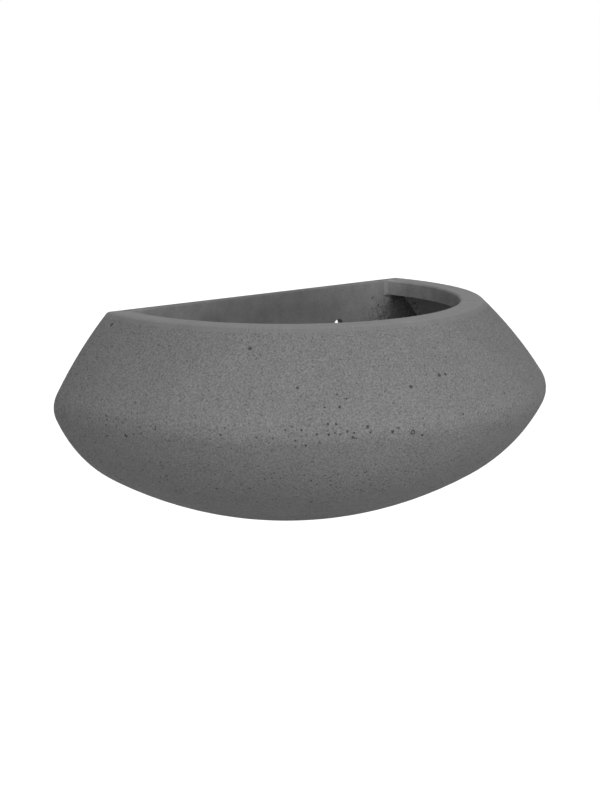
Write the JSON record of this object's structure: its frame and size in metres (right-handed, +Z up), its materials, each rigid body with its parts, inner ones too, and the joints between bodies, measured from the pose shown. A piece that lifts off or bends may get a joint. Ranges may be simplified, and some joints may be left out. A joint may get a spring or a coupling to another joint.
{
  "type": "wall planter",
  "caption": "Half-round bellied wall planter: stone-like shell with a thickened rim lip, flat back plate with hanging holes, bonded inside, and a removable rubber drain plug.",
  "frame": {"origin": "midway between the two hanging holes, on the wall plane (the back face)", "axes": "+X to the right along the wall, -Y out of the wall towards the room, +Z up"},
  "size_m": [0.4, 0.2325, 0.163],
  "materials": {
    "cast_stone": "matte",
    "joint_mortar": "matte",
    "laminate": "satin",
    "rubber": "matte"
  },
  "bodies": {
    "planter": {"front_shell": "cast_stone", "back_plate": "cast_stone", "joint_strip_left": "laminate", "joint_strip_right": "laminate", "joint_strip_base": "laminate", "corner_beads": "joint_mortar"},
    "plug": {"drain_plug": "rubber"}
  },
  "joints": [
    {"name": "drain_plug_pull", "type": "slide", "parent": "planter", "child": "plug", "axis": [0, 0, 1], "range_m": [0, 0.18]}
  ]
}
